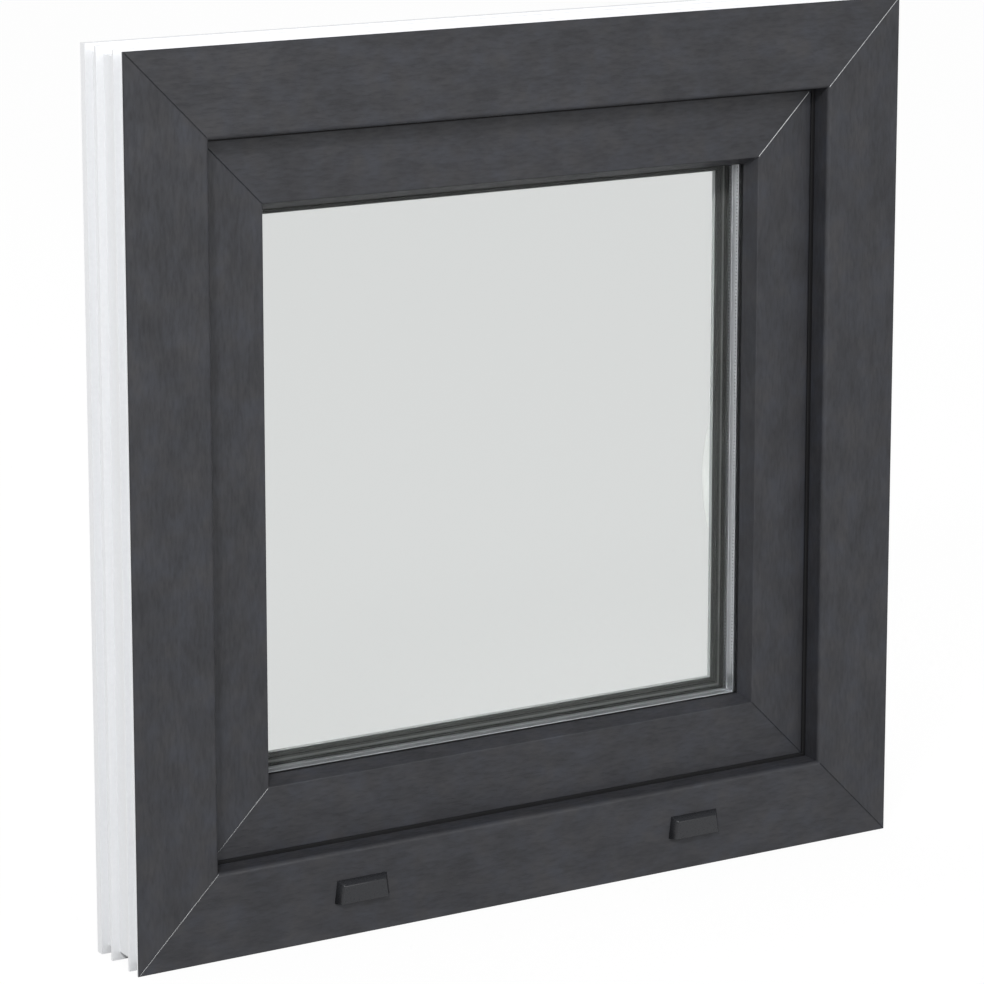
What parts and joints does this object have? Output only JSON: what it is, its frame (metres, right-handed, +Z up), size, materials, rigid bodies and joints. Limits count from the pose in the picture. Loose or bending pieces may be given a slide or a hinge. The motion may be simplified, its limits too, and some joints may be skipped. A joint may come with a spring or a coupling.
{
  "type": "basement window",
  "caption": "Square basement window: chambered plastic frame and an inward-opening sash with double glazing, drain caps, handle and hinges.",
  "frame": {"origin": "bottom centre of the frame, on the middle leg of its underside, which is 38.6 mm behind the outer face", "axes": "+X to the right seen from outside, +Y into the room, +Z up"},
  "size_m": [0.6, 0.131, 0.6],
  "materials": {
    "frame_profile": "white plastic with a grained anthracite foil on its outside",
    "sash_profile": "white plastic with a grained anthracite foil on its outside",
    "bead": "satin white",
    "gasket": "matte black",
    "glass": "clear",
    "spacer": "mill finish with rows of fine perforations",
    "drain_cap": "satin",
    "handle": "satin white",
    "hinge": "satin white"
  },
  "bodies": {
    "root": {"bottom_bead": "bead", "drain_cap_left": "drain_cap", "drain_cap_right": "drain_cap", "frame_gasket": "gasket", "frame_head": "frame_profile", "frame_left_jamb": "frame_profile", "frame_right_jamb": "frame_profile", "frame_sill": "frame_profile", "handle_lever": "handle", "handle_rosette": "handle", "inner_glazing_gasket": "gasket", "inner_pane": "glass", "left_bead": "bead", "lower_hinge_bearing": "hinge", "lower_hinge_pivot": "hinge", "outer_glazing_gasket": "gasket", "outer_pane": "glass", "right_bead": "bead", "sash_bottom_rail": "sash_profile", "sash_gasket": "gasket", "sash_left_stile": "sash_profile", "sash_right_stile": "sash_profile", "sash_top_rail": "sash_profile", "spacer_bar": "spacer", "top_bead": "bead", "upper_hinge_bearing": "hinge", "upper_hinge_pivot": "hinge"}
  },
  "joints": []
}
